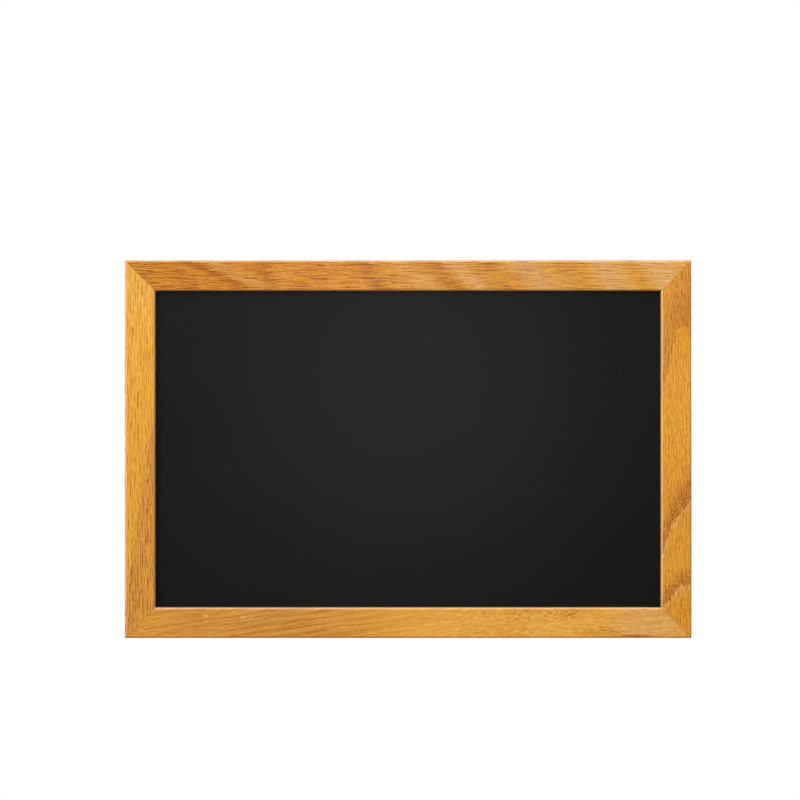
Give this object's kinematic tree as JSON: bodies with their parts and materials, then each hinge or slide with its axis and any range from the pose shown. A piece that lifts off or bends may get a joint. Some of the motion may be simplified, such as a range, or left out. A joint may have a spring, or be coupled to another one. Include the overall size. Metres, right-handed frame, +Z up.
{
  "type": "wall chalkboard",
  "caption": "Landscape wall chalkboard: black writing panel in a mitred oak frame, held from behind by turn buttons, with D-ring hangers and rubber wall bumpers.",
  "frame": {"origin": "on the wall plane, behind the middle of the board", "axes": "+X to the right as seen from the front, +Y out of the back into the wall, +Z up; the front faces -Y"},
  "size_m": [0.6, 0.0242, 0.4],
  "materials": {
    "oak": "oiled, satin",
    "chalkboard_paint": "matt black paint on hardboard",
    "fibreboard": "raw",
    "hardboard": "raw, smooth side out",
    "zinc_steel": "zinc plated",
    "nail_steel": "plain",
    "rubber": "matt"
  },
  "bodies": {
    "board": {"frame_top_rail": "oak", "frame_bottom_rail": "oak", "frame_left_stile": "oak", "frame_right_stile": "oak", "writing_panel": "chalkboard_paint", "core_board": "fibreboard", "backing_board": "hardboard", "v_nail_top_left_outer": "nail_steel", "v_nail_top_left_inner": "nail_steel", "v_nail_top_right_outer": "nail_steel", "v_nail_top_right_inner": "nail_steel", "v_nail_bottom_left_outer": "nail_steel", "v_nail_bottom_left_inner": "nail_steel", "v_nail_bottom_right_outer": "nail_steel", "v_nail_bottom_right_inner": "nail_steel", "turn_button_screw_top_left": "zinc_steel", "turn_button_screw_top_right": "zinc_steel", "turn_button_screw_bottom_left": "zinc_steel", "turn_button_screw_bottom_right": "zinc_steel", "turn_button_screw_left_upper": "zinc_steel", "turn_button_screw_left_lower": "zinc_steel", "turn_button_screw_right_upper": "zinc_steel", "turn_button_screw_right_lower": "zinc_steel", "hanger_strap_left": "zinc_steel", "hanger_strap_right": "zinc_steel", "hanger_screw_left_upper": "zinc_steel", "hanger_screw_left_lower": "zinc_steel", "hanger_screw_right_upper": "zinc_steel", "hanger_screw_right_lower": "zinc_steel", "wall_bumper_left": "rubber", "wall_bumper_right": "rubber"},
    "button_top_left": {"turn_button_top_left": "zinc_steel"},
    "button_top_right": {"turn_button_top_right": "zinc_steel"},
    "button_bottom_left": {"turn_button_bottom_left": "zinc_steel"},
    "button_bottom_right": {"turn_button_bottom_right": "zinc_steel"},
    "button_left_upper": {"turn_button_left_upper": "zinc_steel"},
    "button_left_lower": {"turn_button_left_lower": "zinc_steel"},
    "button_right_upper": {"turn_button_right_upper": "zinc_steel"},
    "button_right_lower": {"turn_button_right_lower": "zinc_steel"},
    "ring_left": {"hanger_ring_left": "zinc_steel"},
    "ring_right": {"hanger_ring_right": "zinc_steel"}
  },
  "joints": [
    {"name": "button_top_left_turn", "type": "hinge", "parent": "board", "child": "button_top_left", "pos_m": [-0.15, -0.0053, 0.18775], "axis": [0, 1, 0], "continuous": true},
    {"name": "button_top_right_turn", "type": "hinge", "parent": "board", "child": "button_top_right", "pos_m": [0.15, -0.0053, 0.18775], "axis": [0, 1, 0], "continuous": true},
    {"name": "button_bottom_left_turn", "type": "hinge", "parent": "board", "child": "button_bottom_left", "pos_m": [-0.15, -0.0053, -0.18775], "axis": [0, 1, 0], "continuous": true},
    {"name": "button_bottom_right_turn", "type": "hinge", "parent": "board", "child": "button_bottom_right", "pos_m": [0.15, -0.0053, -0.18775], "axis": [0, 1, 0], "continuous": true},
    {"name": "button_left_upper_turn", "type": "hinge", "parent": "board", "child": "button_left_upper", "pos_m": [-0.28775, -0.0053, 0.048], "axis": [0, 1, 0], "continuous": true},
    {"name": "button_left_lower_turn", "type": "hinge", "parent": "board", "child": "button_left_lower", "pos_m": [-0.28775, -0.0053, -0.048], "axis": [0, 1, 0], "continuous": true},
    {"name": "button_right_upper_turn", "type": "hinge", "parent": "board", "child": "button_right_upper", "pos_m": [0.28775, -0.0053, 0.048], "axis": [0, 1, 0], "continuous": true},
    {"name": "button_right_lower_turn", "type": "hinge", "parent": "board", "child": "button_right_lower", "pos_m": [0.28775, -0.0053, -0.048], "axis": [0, 1, 0], "continuous": true},
    {"name": "ring_left_swing", "type": "hinge", "parent": "board", "child": "ring_left", "pos_m": [-0.28775, -0.00265, 0.138], "axis": [1, 0, 0], "range_deg": [0, 185]},
    {"name": "ring_right_swing", "type": "hinge", "parent": "board", "child": "ring_right", "pos_m": [0.28775, -0.00265, 0.138], "axis": [1, 0, 0], "range_deg": [0, 185]}
  ]
}
